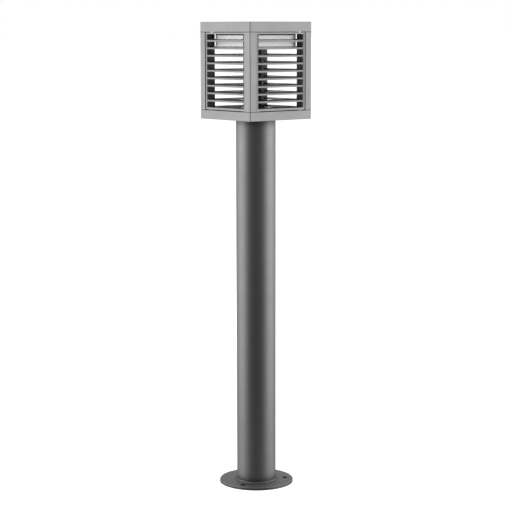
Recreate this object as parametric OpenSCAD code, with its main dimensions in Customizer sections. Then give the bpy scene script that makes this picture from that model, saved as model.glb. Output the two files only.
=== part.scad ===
/* [Overall] */
// Height from the ground to the top of the roof
total_h = 895; // [780:1:1200]
// Width of the square lantern head
head_w = 150; // [125:1:200]
// Height of the lantern head
head_h = 183; // [160:1:260]
// Outside diameter of the round post
post_d = 76; // [64:1:92]

/* [Base flange] */
// Width of the base flange outside the post
base_rim = 33.5; // [28:0.5:60]
// Thickness of the base flange
base_t = 5; // [3:0.5:10]
// Number of fixing holes
bolt_count = 3; // [3:1:6]
// Distance of the fixing holes from the edge of the flange
bolt_edge = 15.5; // [12:0.5:18]
// Diameter of a fixing hole
bolt_hole_d = 10.5; // [7:0.5:12]
// Direction of the first fixing hole, in degrees from +X
bolt_turn = -37; // [-60:1:60]
// Diameter of the cable opening in the flange
entry_d = 32; // [24:1:44]
// Bore of the rubber entry grommet
grommet_bore = 14; // [8:1:18]

/* [Post] */
// Wall of the post
post_wall = 3; // [2:0.5:4]
// Leg of the weld around the foot of the post
weld_leg = 2; // [1.5:0.5:6]

/* [Spigot] */
// Length of the spigot below the tray floor
spigot_len = 60; // [45:1:90]
// Wall of the spigot
spigot_wall = 3; // [2.5:0.5:4]
// Width of the spigot flange outside its tube
spigot_rim = 17.3; // [14:0.1:20]
// Thickness of the spigot flange
spigot_flange_t = 3; // [2:0.5:4]
// Distance of the set screws below the tray
set_screw_drop = 25; // [18:1:30]

/* [Tray] */
// Height of the tray under the louvres
tray_h = 16.6; // [16:0.1:26]
// Wall of the tray
tray_wall = 3; // [2:0.5:4]
// Thickness of the tray floor
tray_floor = 4; // [3:0.5:5]
// Thickness of the plate that closes the tray
cover_t = 3; // [2:0.5:4]

/* [Corner posts] */
// Width of a corner post
corner_w = 14.5; // [12:0.5:17.5]
// Chamfer along the outer edge of a corner post
corner_chamfer = 0.8; // [0.4:0.1:2]
// Thickness of the seal at each end of a corner post
seal_t = 0.8; // [0.4:0.1:1.5]
// Thread diameter of the screws in the corner posts
corner_screw_d = 5; // [4:0.5:6]
// Depth of the screw holes in the ends of a corner post
corner_bore_depth = 26; // [22:1:40]

/* [Louvres] */
// Number of blades in a louvre frame
blade_count = 9; // [5:1:11]
// Thickness of a blade
blade_t = 3.2; // [2:0.1:4]
// Rise of a blade from its outer to its inner edge
blade_rise = 2; // [0:0.1:4]
// Thickness of the top and side bars of a louvre frame
frame_bar = 3; // [2:0.1:4]
// Thickness of the sloping bottom bar of a louvre frame
sill_t = 4; // [3:0.1:6]
// Depth of a louvre frame
frame_depth = 17; // [14:0.5:20.5]
// Setback of a louvre frame from the outer face of the head
frame_inset = 1; // [0:0.1:2]
// Gap at the top and sides of a louvre frame
frame_gap = 1.2; // [0.8:0.1:1.5]
// Gap under a louvre frame
sill_gap = 1.6; // [1:0.1:3]
// Thickness of the comb that holds the blade ends
comb_t = 2.5; // [2:0.1:4]

/* [Roof] */
// Height of the roof cap
roof_h = 18.6; // [17:0.1:30]
// Thickness of the top of the roof
roof_top = 4; // [3:0.5:5]
// Wall of the roof skirt
roof_wall = 3; // [2:0.5:4]
// Thickness of the plate that closes the roof
plate_t = 2; // [1.5:0.5:3]
// Thickness of the roof gasket
gasket_t = 1.3; // [0.8:0.1:2]
// Width of the roof gasket
gasket_w = 3.6; // [2:0.1:5]

/* [Lamp module] */
// Gap between the opal diffuser and the louvre frames
diffuser_gap = 1.5; // [0.5:0.1:4]
// Thickness of the gasket on top of the diffuser
diffuser_gasket_t = 6.4; // [2:0.1:8]
// Height of the diffuser below the roof
diffuser_h = 27; // [22:0.5:40]
// Radius of the corners of the diffuser
diffuser_r = 5; // [3:0.5:12]
// Wall of the diffuser
diffuser_wall = 2.5; // [1.5:0.5:3]
// Gap between the LED board and the screw bosses of the diffuser
board_gap = 7.5; // [2:0.5:12]
// Thickness of the LED board
board_t = 1.6; // [1:0.1:2]
// Rows and columns of LED chips
led_rows = 4; // [2:1:6]
// Width of an LED chip
led_w = 3.5; // [2:0.5:6]
// Width of the heat sink outside the LED board
sink_rim = 3; // [0:0.5:4]
// Number of heat sink fins
fin_count = 11; // [5:1:15]

/* [Cable route] */
// Outside diameter of the cable conduit in the lantern
conduit_d = 11; // [10:0.5:12]
// Wall of the cable conduit
conduit_wall = 1.2; // [1:0.1:1.5]
// Gap between the nut of the conduit and the louvre frames
conduit_gap = 0.5; // [0.3:0.1:4]
// Diameter of the lamp cable
cable_d = 5; // [4:0.5:6]

/* [Gear inside the post] */
// Width of the gear bracket
bracket_w = 36; // [30:1:44]
// Thickness of the gear bracket
bracket_t = 2; // [1.5:0.5:3]
// Length of the LED driver
driver_len = 110; // [80:1:140]
// Width of the LED driver
driver_w = 30; // [24:1:32]
// Depth of the LED driver
driver_depth = 21; // [16:1:22]
// Width of the terminal block
block_w = 32; // [24:1:34]
// Height of the terminal block
block_h = 22; // [18:1:30]
// Gaps between the terminal block, the driver and the cord clamp
driver_gap = 10; // [8:1:20]

/* [Hidden] */

$fn = 64;
eps = 0.01;
SIDES = [-1, 1];
FRONT = 0;
RIGHT = 1;
BACK = 2;
LEFT = 3;

fit_gap = 0.3;
screw_gap = 0.25;
seat_gap = 0.05;
edge_chamfer = 0.8;
recess_gap = 0.5;

head_z = total_h - head_h;
tray_top = head_z + tray_h;
roof_z = total_h - roof_h;
window_h = roof_z - tray_top;
half_w = head_w / 2;
corner_at = half_w - corner_w / 2;
cover_z = tray_top - cover_t;
cover_w = head_w - 2 * tray_wall - 2 * fit_gap;
floor_z = head_z + tray_floor;

post_r = post_d / 2;
post_bore_r = post_r - post_wall;
base_r = post_r + base_rim;
bolt_r = base_r - bolt_edge;
grommet_lip = 2.5;
grommet_lip_h = 2;
spigot_r = post_bore_r - fit_gap;
spigot_bore_r = spigot_r - spigot_wall;
spigot_z = head_z - spigot_len;
spigot_screw_len = spigot_flange_t + tray_floor - 1;
set_screw_d = 6;
set_screw_len = post_wall + fit_gap + spigot_wall;

m3_d = 3;
m4_d = 4;
m5_d = 5;
HEAD_RATIO = 1.8;
HEAD_RISE = 0.55;
SOCKET_RATIO = 0.9;
SOCKET_DEPTH = 0.6;
corner_recess_r = corner_screw_d * HEAD_RATIO / 2 + recess_gap;
corner_recess_h = corner_screw_d * HEAD_RISE + 2 * recess_gap;
corner_thread_len = corner_bore_depth - 6;

frame_z = tray_top + sill_gap;
frame_h = window_h - frame_gap - sill_gap;
frame_half = half_w - corner_w - frame_gap;
cage_half = half_w - frame_inset - frame_depth;
opening_half = frame_half - frame_bar;
comb_base = 1;
blade_half = opening_half - comb_base;
blade_pitch = (frame_h - sill_t) / (blade_count + 1);
blade_base_z = frame_z + sill_t - blade_t / 2 - frame_bar / 2;
pad_w = 12;
pad_depth = 8;
frame_screw_x = frame_half - pad_w / 2;
frame_screw_y = frame_inset + frame_depth / 2 - half_w;
rib_w = 3;
rib_gap = 0.2;
rib_half = cage_half - 0.5;
frame_thread_len = sill_gap + blade_rise;

ledge_z = roof_z + plate_t + gasket_t;
plate_w = head_w - 2 * roof_wall - 2 * fit_gap;
roof_cavity_w = plate_w - 2 * gasket_w;
boss_w = corner_w;
roof_screw_head_z = total_h - roof_top;

diffuser_w = 2 * (cage_half - diffuser_gap);
diffuser_bore_r = diffuser_r - diffuser_wall / 2;
diffuser_top = roof_z - diffuser_gasket_t;
diffuser_z = roof_z - diffuser_h;
diffuser_boss_r = 3.5;
diffuser_boss_h = 17;
diffuser_boss_root = 0.5;
diffuser_boss_at = diffuser_w / 2 - diffuser_wall - diffuser_boss_r + diffuser_boss_root;
board_w = 2 * (diffuser_boss_at - diffuser_boss_r - board_gap);
board_z = roof_z - board_t;
led_h = 1;
led_pitch = board_w / (led_rows + 0.5);
sink_w = board_w + 2 * sink_rim;
sink_z = roof_z + plate_t;
sink_base_t = 3;
sink_air = 2;
sink_h = total_h - roof_top - sink_z - sink_air;
fin_t = 1.6;
sink_screw_at = sink_w / 2 - 5;

conduit_r = conduit_d / 2;
nut_h = 4;
nut_r = conduit_r + 2.5;
conduit_at = cage_half - nut_r - conduit_gap;
conduit_top = diffuser_z - 2 * fit_gap;
plug_len = 16;
plug_r = conduit_r - conduit_wall - fit_gap;
pin_r = 0.6;
pin_gap = 0.5;
pin_at = 1.8;
pin_len = 6;
pin_slack = 2;
socket_h = 10;

lug_inset = 4;
lug_depth = 3;
lug_y = sqrt(pow(spigot_bore_r, 2) - pow(bracket_w / 2, 2)) - fit_gap;
bracket_y = lug_y - bracket_t;
bracket_top = spigot_z + 50;
bracket_screw_drop = [8, 36];
block_drop = 34;
block_depth = 16;
block_z = spigot_z - block_drop - block_h;
terminal_depth = 4;
terminal_screw_h = 3;
terminal_pitch = 9;
terminal_rise = 5.5;
slot_w = 0.8;
driver_tab = 7;
driver_tab_t = 3;
driver_z = block_z - driver_gap - driver_len;
lead_x = -8;
lead_y = bracket_y - 12;
stud_z = block_z + block_h + 14;
stud_len = 14;
stud_nut_h = 4;
stud_nut_r = 4.6;
lug_t = 1;
lug_r = 5.5;
lug_tail_w = 6;
lug_tail_len = 9;
earth_lead_r = 1.6;
clamp_bore = 7;
clamp_wall = 2.5;
clamp_depth = clamp_bore + 2 * clamp_wall;
clamp_w = 30;
clamp_h = 12;
clamp_screw_x = 10;
clamp_z = driver_z - clamp_h - 4;
bracket_foot = 8;
bracket_z = clamp_z - bracket_foot;
cable_r = cable_d / 2;
cable_x = 10;
cable_y = bracket_y - block_depth - cable_r - 0.5;
cable_floor_z = (floor_z + spigot_flange_t + cover_z) / 2;
bend_overrun = 1.9;
cable_bend_r = cover_z - cable_floor_z + bend_overrun;
module_lead_r = 1.5;
module_bend_r = 5;
board_reach = 3;

// Screw with its head above z = 0 and its shank below it
module screw(d, len) {
    head_r = d * HEAD_RATIO / 2;
    head_h = d * HEAD_RISE;
    difference() {
        union() {
            cylinder(h = head_h, r = head_r, $fn = 40);
            translate([0, 0, -len])
                cylinder(h = len + eps, r = d / 2, $fn = 32);
        }
        translate([0, 0, head_h * (1 - SOCKET_DEPTH)])
            cylinder(h = head_h, r = d * SOCKET_RATIO / 2, $fn = 6);
    }
}

// Square of side w with true round corners of radius r
module rounded_square(w, r) {
    square([w, w - 2 * r], center = true);
    square([w - 2 * r, w], center = true);
    for (x = SIDES, y = SIDES)
        translate([x * (w / 2 - r), y * (w / 2 - r)])
            circle(r = r);
}

// Square of side w with its corners cut by c
module chamfered_square(w, c) {
    h = w / 2;
    polygon([[-h + c, -h], [h - c, -h], [h, -h + c], [h, h - c],
             [h - c, h], [-h + c, h], [-h, h - c], [-h, -h + c]]);
}

// Upright square plate of side w from z, t high
module plate(w, z, t) {
    translate([-w / 2, -w / 2, z])
        cube([w, w, t]);
}

// Hole of radius r that runs down through a plate of thickness t from z = 0
module through(t, r) {
    translate([0, 0, -t - 1])
        cylinder(h = t + 2, r = r);
}

module at_corners(d) {
    for (x = SIDES, y = SIDES)
        translate([x * d, y * d, 0])
            children();
}

// Turns a front-facing piece to face side k of the head
module on_face(k) {
    rotate([0, 0, 90 * k])
        children();
}

module at_sides(d) {
    for (turn = [0 : 90 : 270])
        rotate([0, 0, turn])
            translate([d, 0, 0])
                children();
}

// Quarter bend of a cable of radius r about a centre in the XZ plane, from the angle start
module bend(x, z, start, bend_r, r) {
    translate([x, 0, z])
        rotate([90, 0, 0])
            rotate([0, 0, start])
                rotate_extrude(angle = 90, $fn = 64)
                    translate([bend_r, 0])
                        circle(r = r, $fn = 32);
}

// Level stretch of cable of radius r along X
module level_run(x1, x2, z, r) {
    translate([x1, 0, z])
        rotate([0, 90, 0])
            cylinder(h = x2 - x1, r = r, $fn = 32);
}

// Upright stretch of cable of radius r
module upright_run(x, z1, z2, r) {
    translate([x, 0, z1])
        cylinder(h = z2 - z1, r = r, $fn = 32);
}

module base_flange() {
    color("#8a8c8e")
    difference() {
        union() {
            cylinder(h = base_t - edge_chamfer, r = base_r, $fn = 128);
            translate([0, 0, base_t - edge_chamfer])
                cylinder(h = edge_chamfer, r1 = base_r, r2 = base_r - edge_chamfer, $fn = 128);
        }
        translate([0, 0, base_t])
            through(base_t, entry_d / 2);
        for (i = [0 : bolt_count - 1])
            rotate([0, 0, bolt_turn + i * 360 / bolt_count])
                translate([bolt_r, 0, base_t])
                    through(base_t, bolt_hole_d / 2);
    }
}

module entry_grommet() {
    bore_r = grommet_bore / 2;
    neck_r = entry_d / 2 - fit_gap;
    lip_r = entry_d / 2 + grommet_lip;
    lip_z = base_t + grommet_lip_h;
    color("#222325")
    rotate_extrude()
        polygon([[bore_r, 0], [neck_r, 0], [neck_r, base_t], [lip_r, base_t],
                 [lip_r, lip_z], [bore_r, lip_z]]);
}

// Hollow-faced weld around the foot of the post
module weld_fillet() {
    rotate_extrude($fn = 128)
        difference() {
            translate([post_r - eps, base_t])
                square([weld_leg + eps, weld_leg]);
            translate([post_r + weld_leg, base_t + weld_leg])
                circle(r = weld_leg);
        }
}

module post_tube() {
    color("#8a8c8e")
    difference() {
        union() {
            translate([0, 0, base_t])
                cylinder(h = head_z - base_t, r = post_r, $fn = 128);
            weld_fillet();
        }
        translate([0, 0, base_t - 1])
            cylinder(h = head_z - base_t + 2, r = post_bore_r, $fn = 128);
        set_screw_places()
            translate([0, 0, -set_screw_len - 1])
                cylinder(h = set_screw_len + post_r, r = set_screw_d / 2 + screw_gap);
    }
}

// Radial places on the two sides of the post, local +Z pointing outwards
module set_screw_places() {
    for (turn = [0, 90])
        rotate([0, 0, turn])
            translate([post_r + seat_gap, 0, head_z - set_screw_drop])
                rotate([0, 90, 0])
                    children();
}

module set_screws() {
    color("#b9bbbd")
    set_screw_places()
        screw(set_screw_d, set_screw_len);
}

module spigot() {
    color("#9a9c9e")
    difference() {
        union() {
            translate([0, 0, floor_z])
                cylinder(h = spigot_flange_t, r = spigot_r + spigot_rim, $fn = 96);
            translate([0, 0, spigot_z])
                cylinder(h = spigot_len + tray_floor + eps, r = spigot_r, $fn = 96);
        }
        difference() {
            translate([0, 0, spigot_z - 1])
                cylinder(h = spigot_len + tray_floor + spigot_flange_t + 2, r = spigot_bore_r, $fn = 96);
            translate([-bracket_w / 2 + lug_inset, lug_y, spigot_z - 2])
                cube([bracket_w - 2 * lug_inset, spigot_r, bracket_top - spigot_z + 2]);
        }
        spigot_screw_places()
            through(spigot_flange_t, m5_d / 2 + screw_gap);
        set_screw_places()
            translate([0, 0, -set_screw_len - 1])
                cylinder(h = set_screw_len, r = set_screw_d / 2 + seat_gap);
        bracket_screw_places()
            through(bracket_t + lug_depth, m4_d / 2 + seat_gap);
    }
}

module spigot_screw_places() {
    for (turn = [0 : 90 : 270])
        rotate([0, 0, turn])
            translate([spigot_r + spigot_rim / 2, 0, floor_z + spigot_flange_t])
                children();
}

module spigot_screws() {
    color("#b9bbbd")
    spigot_screw_places()
        screw(m5_d, spigot_screw_len);
}

// Places on the bracket face, local +Z pointing to the front
module on_bracket(x, z) {
    translate([x, bracket_y, z])
        rotate([90, 0, 0])
            children();
}

module bracket_screw_places() {
    for (drop = bracket_screw_drop)
        on_bracket(0, bracket_top - drop)
            children();
}

module bracket_screws() {
    color("#b9bbbd")
    bracket_screw_places()
        screw(m4_d, bracket_t + lug_depth);
}

module gear_bracket() {
    color("#a9abad")
    difference() {
        translate([-bracket_w / 2, bracket_y, bracket_z])
            cube([bracket_w, bracket_t, bracket_top - bracket_z]);
        bracket_screw_places()
            through(bracket_t, m4_d / 2 + seat_gap);
        driver_screw_places()
            through(bracket_t, m3_d / 2 + seat_gap);
        clamp_screw_places()
            through(bracket_t, m3_d / 2 + seat_gap);
        on_bracket(0, stud_z)
            through(bracket_t, m5_d / 2 + seat_gap);
    }
}

module driver() {
    color("#e4e4e0")
    difference() {
        union() {
            translate([-driver_w / 2, bracket_y - driver_depth, driver_z + driver_tab])
                cube([driver_w, driver_depth, driver_len - 2 * driver_tab]);
            translate([-driver_w / 2, bracket_y - driver_tab_t, driver_z])
                cube([driver_w, driver_tab_t, driver_len]);
        }
        driver_screw_places()
            translate([0, 0, driver_tab_t])
                through(driver_tab_t, m3_d / 2 + screw_gap);
    }
}

module driver_screw_places() {
    for (z = [driver_z + driver_tab / 2, driver_z + driver_len - driver_tab / 2])
        on_bracket(0, z)
            children();
}

module driver_screws() {
    color("#b9bbbd")
    driver_screw_places()
        translate([0, 0, driver_tab_t])
            screw(m3_d, driver_tab_t + bracket_t);
}

module terminal_block() {
    color("#d9d9d4")
    difference() {
        translate([-block_w / 2, bracket_y - block_depth, block_z])
            cube([block_w, block_depth, block_h]);
        terminal_places()
            translate([0, 0, -terminal_depth])
                cylinder(h = terminal_depth + 1, r = m4_d / 2 + screw_gap, $fn = 32);
    }
}

// Two rows of three screws on the front of the terminal block
module terminal_places() {
    for (i = [-1 : 1], row = SIDES)
        translate([i * terminal_pitch, bracket_y - block_depth, block_z + block_h / 2 + row * terminal_rise])
            rotate([90, 0, 0])
                children();
}

module terminal_screws() {
    color("#c8a24a")
    terminal_places()
        translate([0, 0, -terminal_depth])
            difference() {
                cylinder(h = terminal_screw_h, r = m4_d / 2, $fn = 32);
                translate([-m4_d, -slot_w / 2, terminal_screw_h - slot_w])
                    cube([2 * m4_d, slot_w, slot_w + 1]);
            }
}

module driver_lead() {
    color("#2a2b2d")
    translate([lead_x, lead_y, block_z - driver_gap - driver_tab])
        cylinder(h = driver_gap + driver_tab, r = cable_r, $fn = 32);
}

module earth_stud() {
    color("#c8a24a")
    on_bracket(0, stud_z) {
        translate([0, 0, -bracket_t])
            cylinder(h = stud_len + bracket_t, r = m5_d / 2, $fn = 32);
        translate([0, 0, lug_t + seat_gap])
            cylinder(h = stud_nut_h, r = stud_nut_r, $fn = 6);
    }
}

module earth_lug() {
    color("#b98d3f")
    on_bracket(0, stud_z)
        difference() {
            union() {
                cylinder(h = lug_t, r = lug_r, $fn = 40);
                translate([-lug_tail_w / 2, -lug_tail_len, 0])
                    cube([lug_tail_w, lug_tail_len, lug_t]);
            }
            translate([0, 0, lug_t])
                through(lug_t, m5_d / 2 + screw_gap);
        }
}

module earth_lead() {
    crimp_len = 5;
    foot_z = block_z + block_h;
    color("#7d9a3a")
    translate([0, bracket_y - lug_t - earth_lead_r, foot_z])
        cylinder(h = stud_z - lug_tail_len + crimp_len - foot_z, r = earth_lead_r, $fn = 24);
}

module cord_clamp() {
    color("#1e1f21")
    difference() {
        translate([-clamp_w / 2, bracket_y - clamp_depth, clamp_z])
            cube([clamp_w, clamp_depth, clamp_h]);
        translate([0, bracket_y - clamp_depth / 2, clamp_z - 1])
            cylinder(h = clamp_h + 2, r = clamp_bore / 2, $fn = 32);
        clamp_screw_places()
            translate([0, 0, clamp_depth])
                through(clamp_depth, m3_d / 2 + screw_gap);
    }
}

module clamp_screw_places() {
    for (x = SIDES)
        on_bracket(x * clamp_screw_x, clamp_z + clamp_h / 2)
            children();
}

module clamp_screws() {
    color("#b9bbbd")
    clamp_screw_places()
        translate([0, 0, clamp_depth])
            screw(m3_d, clamp_depth + bracket_t);
}

module tray() {
    color("#a6a8aa")
    difference() {
        translate([0, 0, head_z])
            linear_extrude(tray_h)
                chamfered_square(head_w, edge_chamfer);
        difference() {
            plate(head_w - 2 * tray_wall, floor_z, tray_h);
            at_corners(corner_at)
                plate(boss_w, floor_z - 1, cover_z - floor_z + 1);
        }
        translate([0, 0, head_z - 1])
            cylinder(h = tray_floor + 2, r = spigot_r + fit_gap, $fn = 96);
        at_corners(corner_at) {
            translate([0, 0, tray_top])
                through(tray_h, corner_screw_d / 2 + screw_gap);
            translate([0, 0, head_z - 1])
                cylinder(h = corner_recess_h + 1, r = corner_recess_r);
        }
        spigot_screw_places()
            translate([0, 0, -spigot_flange_t])
                through(tray_floor, m5_d / 2 + seat_gap);
    }
}

module tray_cover() {
    color("#8f9193")
    difference() {
        plate(cover_w, cover_z, cover_t);
        translate([0, 0, tray_top]) {
            at_corners(corner_at)
                through(cover_t, corner_screw_d / 2 + screw_gap);
            translate([conduit_at, conduit_at, 0])
                through(cover_t, conduit_r + seat_gap);
        }
        for (k = [FRONT : LEFT])
            on_face(k)
                frame_screw_places()
                    through(cover_t, m3_d / 2 + screw_gap);
    }
}

// Corner post that stands on side x of the head and side y of the head
module corner_post(x, y) {
    h = corner_w / 2;
    c = corner_chamfer;
    color("#a6a8aa")
    scale([x, y, 1])
    difference() {
        translate([corner_at, corner_at, tray_top + seal_t])
            linear_extrude(window_h - 2 * seal_t)
                polygon([[-h, -h], [h, -h], [h, h - c], [h - c, h], [-h, h]]);
        for (z = [tray_top - 1, roof_z - corner_bore_depth])
            translate([corner_at, corner_at, z])
                cylinder(h = corner_bore_depth + 1, r = corner_screw_d / 2 + seat_gap);
    }
}

module corner_post_near() { corner_post(-1, -1); }
module corner_post_right() { corner_post(1, -1); }
module corner_post_back() { corner_post(1, 1); }
module corner_post_left() { corner_post(-1, 1); }

// Flat seals under and over the corner posts
module post_seals() {
    color("#1b1c1e")
    at_corners(corner_at)
        for (z = [tray_top, roof_z - seal_t])
            difference() {
                plate(corner_w - corner_chamfer, z, seal_t);
                translate([0, 0, z + seal_t])
                    through(seal_t, corner_screw_d / 2 + screw_gap);
            }
}

module corner_screws() {
    color("#b9bbbd")
    at_corners(corner_at)
        translate([0, 0, head_z + corner_recess_h])
            rotate([180, 0, 0])
                screw(corner_screw_d, tray_h - corner_recess_h + corner_thread_len);
}

// Solid block of a louvre frame, mitred where the frames meet behind the corner posts
module frame_block() {
    reach = half_w - fit_gap;
    intersection() {
        translate([-frame_half, frame_inset - half_w, frame_z])
            cube([2 * frame_half, frame_depth, frame_h]);
        translate([0, 0, frame_z])
            linear_extrude(frame_h)
                polygon([[-reach, -half_w], [reach, -half_w], [0, reach - half_w]]);
    }
}

// Places under the tray cover, local +Z pointing down
module frame_screw_places() {
    for (x = SIDES)
        translate([x * frame_screw_x, frame_screw_y, cover_z])
            rotate([180, 0, 0])
                children();
}

module louvre_frame(k) {
    color("#a6a8aa")
    on_face(k)
    difference() {
        union() {
            difference() {
                frame_block();
                translate([-opening_half, -half_w, frame_z - 1])
                    cube([2 * opening_half, frame_inset + frame_depth + 1, frame_h - frame_bar + 1]);
            }
            slat(frame_z, opening_half + eps, sill_t);
            for (x = SIDES)
                translate([x * frame_screw_x - pad_w / 2, frame_screw_y - pad_depth / 2, tray_top])
                    cube([pad_w, pad_depth, sill_gap + blade_rise]);
            translate([-rib_half, -cage_half - rib_w, roof_z - frame_gap - eps])
                cube([2 * rib_half, rib_w, frame_gap + eps - rib_gap]);
        }
        frame_screw_places()
            translate([0, 0, -cover_t])
                through(frame_thread_len, m3_d / 2 + seat_gap);
    }
}

module frame_front() { louvre_frame(FRONT); }
module frame_right() { louvre_frame(RIGHT); }
module frame_back() { louvre_frame(BACK); }
module frame_left() { louvre_frame(LEFT); }

module frame_screws() {
    color("#b9bbbd")
    for (k = [FRONT : LEFT])
        on_face(k)
            frame_screw_places()
                screw(m3_d, cover_t + frame_thread_len);
}

// Slat across the front louvre frame at height z, sloping down to the outside
module slat(z, half_len, t) {
    translate([-half_len, frame_inset - half_w, z])
        rotate([90, 0, 90])
            linear_extrude(2 * half_len)
                polygon([[0, 0], [frame_depth, blade_rise],
                         [frame_depth, blade_rise + t], [0, t]]);
}

// The blades of the front louvre frame
module blade_set() {
    for (i = [1 : blade_count])
        slat(blade_base_z + i * blade_pitch, blade_half, blade_t);
}

module louvre_blades(k) {
    color("#9fa1a3")
    on_face(k)
        blade_set();
}

// Space under the top face of the sloping bottom bar
module comb_foot() {
    translate([-half_w, frame_inset - half_w, frame_z])
        rotate([90, 0, 90])
            linear_extrude(head_w)
                polygon([[-1, -1], [frame_depth + 1, -1], [frame_depth + 1, sill_t + blade_rise],
                         [frame_depth, sill_t + blade_rise], [0, sill_t], [-1, sill_t]]);
}

// The two combs that hold the blade ends of one louvre frame
module blade_combs(k) {
    color("#17181a")
    on_face(k)
    difference() {
        for (x = [-opening_half, opening_half - comb_t])
            translate([x, frame_inset - half_w, frame_z])
                cube([comb_t, frame_depth, frame_h - frame_bar]);
        blade_set();
        comb_foot();
    }
}

module blades_front() { louvre_blades(FRONT); }
module blades_right() { louvre_blades(RIGHT); }
module blades_back() { louvre_blades(BACK); }
module blades_left() { louvre_blades(LEFT); }

module combs_front() { blade_combs(FRONT); }
module combs_right() { blade_combs(RIGHT); }
module combs_back() { blade_combs(BACK); }
module combs_left() { blade_combs(LEFT); }

module conduit() {
    color("#17181a")
    translate([conduit_at, conduit_at, cover_z])
        difference() {
            cylinder(h = conduit_top - cover_z, r = conduit_r);
            translate([0, 0, -1])
                cylinder(h = conduit_top - cover_z + 2, r = conduit_r - conduit_wall);
        }
}

module conduit_nuts() {
    color("#17181a")
    translate([conduit_at, conduit_at, 0])
        difference() {
            translate([0, 0, tray_top])
                cylinder(h = nut_h, r = nut_r, $fn = 6);
            translate([0, 0, tray_top - 1])
                cylinder(h = nut_h + 2, r = conduit_r + seat_gap);
        }
}

module lamp_cable() {
    bend_r = cable_bend_r;
    start_z = driver_z + driver_len - driver_tab;
    across = [conduit_at - cable_x, conduit_at - cable_y];
    length = norm(across);
    color("#2a2b2d")
    translate([cable_x, cable_y, 0])
        rotate([0, 0, atan2(across[1], across[0])]) {
            upright_run(0, start_z, cable_floor_z - bend_r, cable_r);
            bend(bend_r, cable_floor_z - bend_r, 90, bend_r, cable_r);
            level_run(bend_r, length - bend_r, cable_floor_z, cable_r);
            bend(length - bend_r, cable_floor_z + bend_r, -90, bend_r, cable_r);
            upright_run(length, cable_floor_z + bend_r, conduit_top - plug_len, cable_r);
        }
}

module pin_places() {
    for (x = SIDES)
        translate([conduit_at + x * pin_at, conduit_at, 0])
            children();
}

module lamp_plug() {
    color("#0f1011")
    difference() {
        translate([conduit_at, conduit_at, conduit_top - plug_len])
            cylinder(h = plug_len, r = plug_r, $fn = 48);
        pin_places()
            translate([0, 0, conduit_top - pin_len - pin_slack])
                cylinder(h = pin_len + pin_slack + 1, r = pin_r + pin_gap, $fn = 24);
    }
}

// Bar across the head from z up to h above it, its two top edges chamfered by c
module chamfered_bar(z, h, c) {
    translate([0, half_w, z])
        rotate([90, 0, 0])
            linear_extrude(head_w)
                polygon([[-half_w, 0], [half_w, 0], [half_w, h - c], [half_w - c, h],
                         [-half_w + c, h], [-half_w, h - c]]);
}

module roof_cap() {
    color("#9c9ea0")
    difference() {
        intersection() {
            translate([0, 0, roof_z])
                linear_extrude(roof_h)
                    chamfered_square(head_w, edge_chamfer);
            chamfered_bar(roof_z, roof_h, edge_chamfer);
            rotate([0, 0, 90])
                chamfered_bar(roof_z, roof_h, edge_chamfer);
        }
        plate(head_w - 2 * roof_wall, roof_z - 1, plate_t + gasket_t + 1);
        difference() {
            plate(roof_cavity_w, ledge_z - 1, total_h - roof_top - ledge_z + 1);
            at_corners(corner_at)
                plate(boss_w, ledge_z, roof_h);
        }
        at_corners(corner_at) {
            translate([0, 0, total_h])
                through(roof_h, corner_screw_d / 2 + screw_gap);
            translate([0, 0, roof_screw_head_z])
                cylinder(h = roof_top + 1, r = corner_recess_r);
        }
    }
}

module roof_screws() {
    color("#b9bbbd")
    at_corners(corner_at)
        translate([0, 0, roof_screw_head_z])
            screw(corner_screw_d, roof_h - roof_top + corner_thread_len);
}

module roof_plate() {
    color("#b4b6b8")
    difference() {
        plate(plate_w, roof_z, plate_t);
        translate([0, 0, roof_z + plate_t]) {
            at_corners(corner_at)
                through(plate_t, corner_screw_d / 2 + screw_gap);
            at_sides(diffuser_boss_at)
                through(plate_t, m3_d / 2 + screw_gap);
            at_corners(sink_screw_at)
                through(plate_t, m3_d / 2 + seat_gap);
        }
    }
}

module roof_gasket() {
    color("#1b1c1e")
    difference() {
        plate(plate_w, roof_z + plate_t, gasket_t);
        plate(roof_cavity_w, roof_z, plate_t + gasket_t + 1);
        translate([0, 0, ledge_z])
            at_corners(corner_at)
                through(gasket_t, corner_screw_d / 2 + screw_gap);
    }
}

module diffuser() {
    inner = diffuser_w - 2 * diffuser_wall;
    color("#eceae4")
    difference() {
        union() {
            difference() {
                translate([0, 0, diffuser_z])
                    linear_extrude(diffuser_top - diffuser_z)
                        rounded_square(diffuser_w, diffuser_r);
                translate([0, 0, diffuser_z + diffuser_wall])
                    linear_extrude(diffuser_h)
                        rounded_square(inner, diffuser_bore_r);
            }
            at_sides(diffuser_boss_at)
                translate([0, 0, roof_z - diffuser_boss_h])
                    cylinder(h = diffuser_boss_h, r = diffuser_boss_r);
        }
        at_sides(diffuser_boss_at)
            translate([0, 0, roof_z - diffuser_boss_h + 1])
                cylinder(h = diffuser_boss_h, r = m3_d / 2 + seat_gap, $fn = 32);
        translate([conduit_at, conduit_at, diffuser_z + diffuser_wall])
            through(diffuser_wall, plug_r + seat_gap);
    }
}

module diffuser_gasket() {
    color("#1b1c1e")
    difference() {
        translate([0, 0, diffuser_top])
            linear_extrude(diffuser_gasket_t)
                rounded_square(diffuser_w, diffuser_r);
        translate([0, 0, diffuser_top - 1])
            linear_extrude(diffuser_gasket_t + 2)
                rounded_square(diffuser_w - 2 * diffuser_wall, diffuser_bore_r);
        at_sides(diffuser_boss_at)
            translate([0, 0, roof_z])
                through(diffuser_gasket_t, diffuser_boss_r + seat_gap);
    }
}

module diffuser_screws() {
    color("#b9bbbd")
    at_sides(diffuser_boss_at)
        translate([0, 0, roof_z + plate_t])
            screw(m3_d, plate_t + diffuser_boss_h - 2);
}

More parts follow.
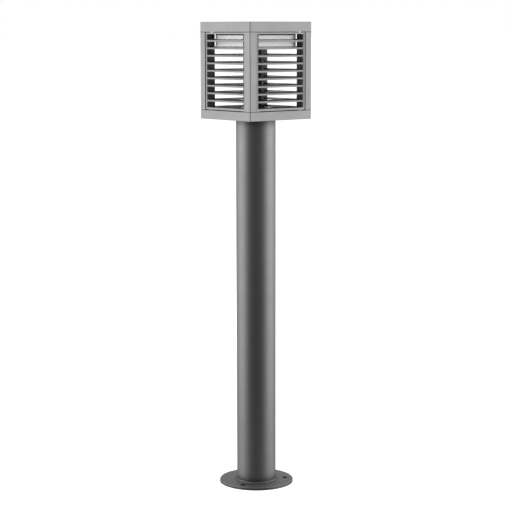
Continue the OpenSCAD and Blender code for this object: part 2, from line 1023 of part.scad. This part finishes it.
module led_board() {
    color("#f2f2ee")
    difference() {
        plate(board_w, board_z, board_t);
        at_corners(sink_screw_at)
            translate([0, 0, roof_z])
                through(board_t, m3_d / 2 + screw_gap);
    }
}

module led_chips() {
    color("#e9d879")
    for (i = [0 : led_rows - 1], j = [0 : led_rows - 1])
        translate([(i - (led_rows - 1) / 2) * led_pitch, (j - (led_rows - 1) / 2) * led_pitch, 0])
            plate(led_w, board_z - led_h, led_h);
}

module heat_sink() {
    pitch = (sink_w - fin_t) / (fin_count - 1);
    color("#aeb0b2")
    difference() {
        union() {
            plate(sink_w, sink_z, sink_base_t);
            for (i = [0 : fin_count - 1])
                translate([i * pitch - sink_w / 2, -sink_w / 2, sink_z])
                    cube([fin_t, sink_w, sink_h]);
        }
        at_corners(sink_screw_at)
            translate([0, 0, sink_z + sink_base_t]) {
                cylinder(h = sink_h, r = m3_d * HEAD_RATIO / 2 + screw_gap);
                through(sink_base_t, m3_d / 2 + screw_gap);
            }
    }
}

module sink_screws() {
    color("#b9bbbd")
    at_corners(sink_screw_at)
        translate([0, 0, sink_z + sink_base_t])
            screw(m3_d, sink_base_t + plate_t);
}

module lamp_socket() {
    color("#0f1011")
    union() {
        translate([conduit_at, conduit_at, diffuser_z])
            cylinder(h = socket_h, r = plug_r, $fn = 48);
        pin_places()
            translate([0, 0, diffuser_z - pin_len])
                cylinder(h = pin_len + 1, r = pin_r, $fn = 24);
    }
}

module module_lead() {
    level_z = board_z - module_lead_r;
    length = (conduit_at - board_w / 2 + board_reach) * sqrt(2);
    color("#2a2b2d")
    translate([conduit_at, conduit_at, 0])
        rotate([0, 0, -135]) {
            upright_run(0, diffuser_z + socket_h, level_z - module_bend_r, module_lead_r);
            bend(module_bend_r, level_z - module_bend_r, 90, module_bend_r, module_lead_r);
            level_run(module_bend_r, length, level_z, module_lead_r);
        }
}

base_flange();
entry_grommet();
post_tube();
spigot();
set_screws();
spigot_screws();
gear_bracket();
bracket_screws();
driver();
driver_screws();
terminal_block();
terminal_screws();
driver_lead();
earth_stud();
earth_lug();
earth_lead();
cord_clamp();
clamp_screws();
tray();
tray_cover();
corner_post_near();
corner_post_right();
corner_post_back();
corner_post_left();
post_seals();
corner_screws();
frame_front();
frame_right();
frame_back();
frame_left();
blades_front();
blades_right();
blades_back();
blades_left();
combs_front();
combs_right();
combs_back();
combs_left();
frame_screws();
conduit();
conduit_nuts();
lamp_cable();
lamp_plug();
roof_cap();
roof_screws();
roof_plate();
roof_gasket();
diffuser();
diffuser_gasket();
diffuser_screws();
led_board();
led_chips();
heat_sink();
sink_screws();
lamp_socket();
module_lead();
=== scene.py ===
import math

import bpy
from mathutils import Matrix, Vector


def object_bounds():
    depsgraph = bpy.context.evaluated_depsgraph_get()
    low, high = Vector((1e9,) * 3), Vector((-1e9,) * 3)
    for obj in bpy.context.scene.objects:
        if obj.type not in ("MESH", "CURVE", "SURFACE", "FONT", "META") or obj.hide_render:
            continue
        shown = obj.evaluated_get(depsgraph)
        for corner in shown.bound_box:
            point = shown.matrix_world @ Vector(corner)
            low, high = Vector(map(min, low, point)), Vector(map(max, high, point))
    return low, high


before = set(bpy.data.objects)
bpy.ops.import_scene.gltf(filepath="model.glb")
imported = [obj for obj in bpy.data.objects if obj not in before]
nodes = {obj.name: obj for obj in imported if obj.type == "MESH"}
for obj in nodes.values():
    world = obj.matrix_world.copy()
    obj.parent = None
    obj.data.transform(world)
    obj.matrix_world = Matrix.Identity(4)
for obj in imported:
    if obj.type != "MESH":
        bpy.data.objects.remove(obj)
cad_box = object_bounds()

# The camera's place, from the post's axis: how far round, how far off, how high and how far it looks down
CAMERA_TURN = math.radians(-39.45)
CAMERA_AWAY = 3.053
CAMERA_HEIGHT = 0.8795
CAMERA_PITCH = 8.066
CAMERA_ROLL = -0.108
CAMERA_LENS = 112.07
SENSOR = 36.0

FLOOR_SIZE = 400.0
FLOOR_DROP = 0.0002

# Sizes on the object, in metres: where the painted shade on the opal sheet starts and where it is darkest,
# the reach of the painted crevice shade on the flange and on the post, and the heights between which the
# post gets duller
OPAL_PAINTED_SHADE_FROM = 0.041
OPAL_PAINTED_SHADE_TO = 0.055
FLANGE_PAINTED_SHADE_REACH = 0.012
POST_PAINTED_SHADE_REACH = 0.03
FOOT_BELOW = 0.03
FOOT_ABOVE = 0.2

# The fill lights: how far off, how high, how wide and how strong in front and behind
FILL_AWAY = 2.6
FILL_HEIGHT = 1.2
FILL_SIZE = 1.4
FILL_FRONT = 40.0
FILL_BACK = 30.0
LAMP_CENTRE = Vector((0.0, 0.0, 0.85))


def camera_side(angle):
    """The direction that lies so many degrees round from the camera, seen from the object."""
    turn = CAMERA_TURN - math.pi / 2 + math.radians(angle)
    return Vector((math.cos(turn), math.sin(turn), 0.0))


# ---------------------------------------------------------------- materials


class Nodes:
    """A material's node tree, with short calls to add and link nodes."""

    def __init__(self, name):
        self.material = bpy.data.materials.new(name)
        self.material.use_nodes = True
        self.tree = self.material.node_tree
        self.shader = self.tree.nodes["Principled BSDF"]
        self.coords = self.tree.nodes.new("ShaderNodeTexCoord").outputs["Object"]

    def set(self, **values):
        for name, value in values.items():
            self.shader.inputs[name.replace("_", " ")].default_value = value

    def link(self, out, socket):
        self.tree.links.new(out, socket)

    def noise(self, scale, detail=4.0, roughness=0.5, stretch=None):
        node = self.tree.nodes.new("ShaderNodeTexNoise")
        node.inputs["Scale"].default_value = scale
        node.inputs["Detail"].default_value = detail
        node.inputs["Roughness"].default_value = roughness
        source = self.coords
        if stretch is not None:
            mapping = self.tree.nodes.new("ShaderNodeMapping")
            mapping.inputs["Scale"].default_value = stretch
            self.link(source, mapping.inputs["Vector"])
            source = mapping.outputs["Vector"]
        self.link(source, node.inputs["Vector"])
        return node.outputs["Fac"]

    def ramp(self, source, stops):
        node = self.tree.nodes.new("ShaderNodeValToRGB")
        elements = node.color_ramp.elements
        while len(elements) < len(stops):
            elements.new(0.5)
        for element, (place, color) in zip(elements, stops):
            element.position = place
            element.color = (*color, 1.0)
        self.link(source, node.inputs["Fac"])
        return node.outputs["Color"]

    def span(self, source, low, high, start=0.3, end=0.7):
        node = self.tree.nodes.new("ShaderNodeMapRange")
        for socket, value in zip(("From Min", "From Max", "To Min", "To Max"), (start, end, low, high)):
            node.inputs[socket].default_value = value
        self.link(source, node.inputs["Value"])
        return node.outputs["Result"]

    def bump(self, source, strength, distance, edge=0.0):
        node = self.tree.nodes.new("ShaderNodeBump")
        node.inputs["Strength"].default_value = strength
        node.inputs["Distance"].default_value = distance
        self.link(source, node.inputs["Height"])
        if edge:
            bevel = self.tree.nodes.new("ShaderNodeBevel")
            bevel.samples = 4
            bevel.inputs["Radius"].default_value = edge
            self.link(bevel.outputs["Normal"], node.inputs["Normal"])
        self.link(node.outputs["Normal"], self.shader.inputs["Normal"])


    def along(self, axis):
        node = self.tree.nodes.new("ShaderNodeSeparateXYZ")
        self.link(self.coords, node.inputs["Vector"])
        return node.outputs[axis]

    def scaled(self, color, factor):
        """A colour times a factor, for a shade that changes over a piece."""
        node = self.tree.nodes.new("ShaderNodeVectorMath")
        node.operation = "SCALE"
        self.link(color, node.inputs[0])
        self.link(factor, node.inputs["Scale"])
        return node.outputs["Vector"]

    def math(self, operation, *values):
        node = self.tree.nodes.new("ShaderNodeMath")
        node.operation = operation
        for socket, value in zip(node.inputs, values):
            self.link(value, socket)
        return node.outputs["Value"]

    def painted_crevice_shade(self, distance):
        """1 on open faces, falling towards 0 in holes and inner corners: a mask for painted shade in
        crevices.
        """
        node = self.tree.nodes.new("ShaderNodeAmbientOcclusion")
        node.samples = 8
        node.inputs["Distance"].default_value = distance
        return node.outputs["AO"]


def grey(level):
    return (level, level, level)


def powder_coat(name, level, edge=0.0006, rough=0.335, painted_crevice_shade=0.0, foot=0.0):
    """Satin metallic powder coat: orange peel, fleck and clouding, painted shade in crevices, duller at a
    foot.
    """
    m = Nodes(name)
    m.set(Metallic=1.0)
    fleck = m.noise(2600.0, 2.0)
    color = m.ramp(fleck, ((0.3, grey(level * 0.93)), (0.7, grey(level * 1.07))))
    if painted_crevice_shade:
        # Painted shade: the colour darkens in holes, inner corners, at the post's foot and under the tray,
        # where shade falls.
        color = m.scaled(color, m.span(m.painted_crevice_shade(painted_crevice_shade), 0.12, 1.0, start=0.42, end=0.82))
    rough = m.span(m.noise(35.0, 3.0), rough - 0.035, rough + 0.035)
    if foot:
        rough = m.math("ADD", rough, m.span(m.along("Z"), foot, 0.0, start=FOOT_BELOW, end=FOOT_ABOVE))
    m.link(color, m.shader.inputs["Base Color"])
    m.link(rough, m.shader.inputs["Roughness"])
    m.bump(m.noise(1100.0, 3.0), 0.12, 0.0002, edge)
    return m.material


def bare_metal(name, color, roughness):
    """Drawn or turned metal with fine scratches along its length."""
    m = Nodes(name)
    m.set(Metallic=1.0)
    darker = tuple(0.85 * c for c in color)
    streaks = m.noise(300.0, 5.0, 0.6, stretch=(1.0, 1.0, 0.04))
    m.link(m.ramp(streaks, ((0.3, darker), (0.7, color))), m.shader.inputs["Base Color"])
    m.link(m.span(streaks, roughness * 0.8, roughness * 1.2), m.shader.inputs["Roughness"])
    m.bump(streaks, 0.15, 0.0001, 0.0003)
    return m.material


def plastic(name, color, roughness, grain=900.0):
    """Moulded plastic or rubber with a fine spark-eroded grain."""
    m = Nodes(name)
    m.set(IOR=1.48)
    lighter = tuple(min(1.0, 1.15 * c + 0.004) for c in color)
    m.link(m.ramp(m.noise(60.0, 4.0), ((0.3, color), (0.7, lighter))), m.shader.inputs["Base Color"])
    grainy = m.noise(grain, 3.0)
    m.link(m.span(grainy, roughness * 0.9, min(1.0, roughness * 1.1)), m.shader.inputs["Roughness"])
    m.bump(grainy, 0.2, 0.0001, 0.0004)
    return m.material


def opal(name, color):
    """Opal sheet with painted shade towards its upright edges, where the corner posts and frames shadow it.
    """
    m = Nodes(name)
    m.set(IOR=1.49, Coat_Weight=0.15)
    nearer = m.math("MINIMUM", m.math("ABSOLUTE", m.along("X")), m.math("ABSOLUTE", m.along("Y")))
    cloudy = m.ramp(m.noise(40.0, 3.0), ((0.3, tuple(0.97 * c for c in color)), (0.7, color)))
    # Painted shade: the sheet's colour darkens towards its upright edges, standing in for the corner posts'
    # shadow.
    shade = m.span(nearer, 1.0, 0.45, start=OPAL_PAINTED_SHADE_FROM, end=OPAL_PAINTED_SHADE_TO)
    m.link(m.scaled(cloudy, shade), m.shader.inputs["Base Color"])
    grain = m.noise(900.0, 3.0)
    m.link(m.span(grain, 0.32, 0.38), m.shader.inputs["Roughness"])
    m.bump(grain, 0.1, 0.00001, 0.0004)
    return m.material


def dress(material, *names):
    for name in names:
        slots = nodes[name].data.materials
        slots.clear()
        slots.append(material)


def dress_all():
    sides = ("front", "right", "back", "left")
    # Painted light: the head's coat (0.42) is lighter than the post's and flange's (0.365, 0.37) though it
    # is one paint; the difference stands in for light that falls off lower down.
    dress(powder_coat("flange_coat", 0.37, rough=0.5, painted_crevice_shade=FLANGE_PAINTED_SHADE_REACH), "base_flange")
    dress(powder_coat("post_coat", 0.365, painted_crevice_shade=POST_PAINTED_SHADE_REACH, foot=0.11), "post_tube")
    corners = ("near", "right", "back", "left")
    dress(powder_coat("coat", 0.42), "tray", "roof_cap", *("corner_post_" + n for n in corners))
    dress(powder_coat("frame_coat", 0.42, 0.0004), *("frame_" + n for n in sides))
    dress(powder_coat("blade_coat", 0.36, 0.0004), *("blades_" + n for n in sides))
    dress(plastic("cover_coat", (0.012, 0.012, 0.013), 0.55, grain=1100.0), "tray_cover")
    screws = (n for n in nodes if n.endswith("screws") and n != "terminal_screws")
    dress(bare_metal("screw_steel", grey(0.55), 0.3), *screws)
    dress(bare_metal("aluminium", grey(0.6), 0.4), "spigot", "roof_plate", "heat_sink")
    dress(bare_metal("zinc", grey(0.5), 0.35), "gear_bracket")
    dress(bare_metal("brass", (0.72, 0.52, 0.24), 0.3), "earth_stud", "earth_lug", "terminal_screws")
    dress(plastic("rubber", (0.018, 0.018, 0.02), 0.75),
          "entry_grommet", "roof_gasket", "diffuser_gasket", "post_seals")
    dress(plastic("black_plastic", (0.008, 0.008, 0.009), 0.5),
          "conduit", "conduit_nuts", "lamp_plug", "lamp_socket", "cord_clamp")
    dress(plastic("comb_plastic", (0.032, 0.032, 0.033), 0.5), *("combs_" + n for n in sides))
    dress(plastic("white_plastic", (0.7, 0.7, 0.67), 0.45), "driver", "terminal_block")
    dress(plastic("cable_sheath", (0.012, 0.012, 0.013), 0.55), "driver_lead", "lamp_cable", "module_lead")
    dress(plastic("earth_sheath", (0.12, 0.25, 0.03), 0.5), "earth_lead")
    dress(opal("opal", (0.88, 0.875, 0.86)), "diffuser")
    dress(plastic("board_mask", (0.75, 0.75, 0.73), 0.35), "led_board")
    dress(plastic("phosphor", (0.75, 0.6, 0.12), 0.5), "led_chips")


# ---------------------------------------------------------------- stage


def make_floor():
    bpy.ops.mesh.primitive_plane_add(size=FLOOR_SIZE, location=(0.0, 0.0, cad_box[0].z - FLOOR_DROP))
    floor = bpy.context.object
    floor.name = "floor"
    m = Nodes("floor_paper")
    m.set(Roughness=0.9)
    m.link(m.ramp(m.noise(3.0, 3.0), ((0.3, grey(0.86)), (0.7, grey(0.9)))), m.shader.inputs["Base Color"])
    floor.data.materials.append(m.material)
    floor.visible_glossy = False


def make_camera():
    data = bpy.data.cameras.new("camera")
    data.sensor_width = SENSOR
    data.lens = CAMERA_LENS
    data.clip_start = 0.05
    data.clip_end = 200.0
    camera = bpy.data.objects.new("camera", data)
    bpy.context.scene.collection.objects.link(camera)
    back = camera_side(0.0)
    camera.location = back * CAMERA_AWAY + Vector((0.0, 0.0, CAMERA_HEIGHT))
    camera.rotation_euler = (math.radians(90.0 - CAMERA_PITCH), 0.0, CAMERA_TURN)
    camera.rotation_euler.rotate_axis("Z", math.radians(CAMERA_ROLL))
    bpy.context.scene.camera = camera


def overhead_light():
    """A very soft light from straight above, which whitens the floor."""
    data = bpy.data.lights.new("overhead", "SUN")
    data.energy = 2.6
    data.angle = math.radians(100.0)
    light = bpy.data.objects.new("overhead", data)
    bpy.context.scene.collection.objects.link(light)
    light.visible_glossy = False


def fill_light(name, angle, watts):
    """A soft box that only matt surfaces show: it fills the lamp and the floor."""
    data = bpy.data.lights.new(name, "AREA")
    data.size = FILL_SIZE
    data.energy = watts
    light = bpy.data.objects.new(name, data)
    bpy.context.scene.collection.objects.link(light)
    light.location = camera_side(angle) * FILL_AWAY + Vector((0.0, 0.0, FILL_HEIGHT))
    light.rotation_mode = "QUATERNION"
    light.rotation_quaternion = (LAMP_CENTRE - light.location).to_track_quat("-Z", "Y")
    light.visible_camera = False
    light.visible_glossy = False


# Brightness of the room by the angle from the camera's side, and by the height of the direction
ROOM_LIGHT = ((180.0, 0.35), (145.0, 0.55), (118.0, 1.0), (100.0, 1.2), (84.0, 1.22), (70.0, 0.9),
              (58.0, 0.55), (40.0, 0.2), (0.0, 0.12))
ROOM_HEIGHT = ((-1.0, 0.3), (-0.4, 0.33), (-0.3, 0.4), (-0.264, 0.5), (-0.235, 0.73), (-0.16, 0.92),
               (-0.08, 1.0), (0.4, 1.0), (0.65, 0.6), (1.0, 0.4))


def make_world():
    """A room for reflections and light, dark at the camera's end; the camera itself sees plain white."""
    world = bpy.data.worlds.new("room")
    world.use_nodes = True
    bpy.context.scene.world = world
    tree = world.node_tree
    tree.nodes.clear()
    link = tree.links.new

    def profile(axis, stops):
        """Brightness by how far a direction lies along an axis, from -1 to 1."""
        along = tree.nodes.new("ShaderNodeVectorMath")
        along.operation = "DOT_PRODUCT"
        along.inputs[1].default_value = axis
        link(coords.outputs["Generated"], along.inputs[0])
        half = tree.nodes.new("ShaderNodeMath")
        half.operation = "MULTIPLY_ADD"
        half.inputs[1].default_value = 0.5
        half.inputs[2].default_value = 0.5
        link(along.outputs["Value"], half.inputs[0])
        curve = tree.nodes.new("ShaderNodeValToRGB")
        elements = curve.color_ramp.elements
        while len(elements) < len(stops):
            elements.new(0.5)
        for element, (place, level) in zip(elements, stops):
            element.position = (1.0 + place) / 2
            element.color = (*grey(level), 1.0)
        link(half.outputs[0], curve.inputs["Fac"])
        return curve.outputs["Color"]

    coords = tree.nodes.new("ShaderNodeTexCoord")
    around = profile(camera_side(0.0), [(math.cos(math.radians(a)), level) for a, level in ROOM_LIGHT])
    height = profile((0.0, 0.0, 1.0), ROOM_HEIGHT)
    product = tree.nodes.new("ShaderNodeVectorMath")
    product.operation = "MULTIPLY"
    link(around, product.inputs[0])
    link(height, product.inputs[1])
    lit = tree.nodes.new("ShaderNodeBackground")
    link(product.outputs[0], lit.inputs["Color"])
    seen = tree.nodes.new("ShaderNodeBackground")
    seen.inputs["Color"].default_value = (1.0, 1.0, 1.0, 1.0)
    path = tree.nodes.new("ShaderNodeLightPath")
    mix = tree.nodes.new("ShaderNodeMixShader")
    link(path.outputs["Is Camera Ray"], mix.inputs["Fac"])
    link(lit.outputs[0], mix.inputs[1])
    link(seen.outputs[0], mix.inputs[2])
    link(mix.outputs[0], tree.nodes.new("ShaderNodeOutputWorld").inputs["Surface"])


make_camera()
dress_all()
make_floor()
make_world()
overhead_light()
fill_light("fill_left", -62.0, FILL_FRONT)
fill_light("fill_right", 62.0, FILL_FRONT)
fill_light("fill_back_left", -118.0, FILL_BACK)
fill_light("fill_back_right", 118.0, FILL_BACK)
bpy.context.scene.view_settings.view_transform = "Standard"
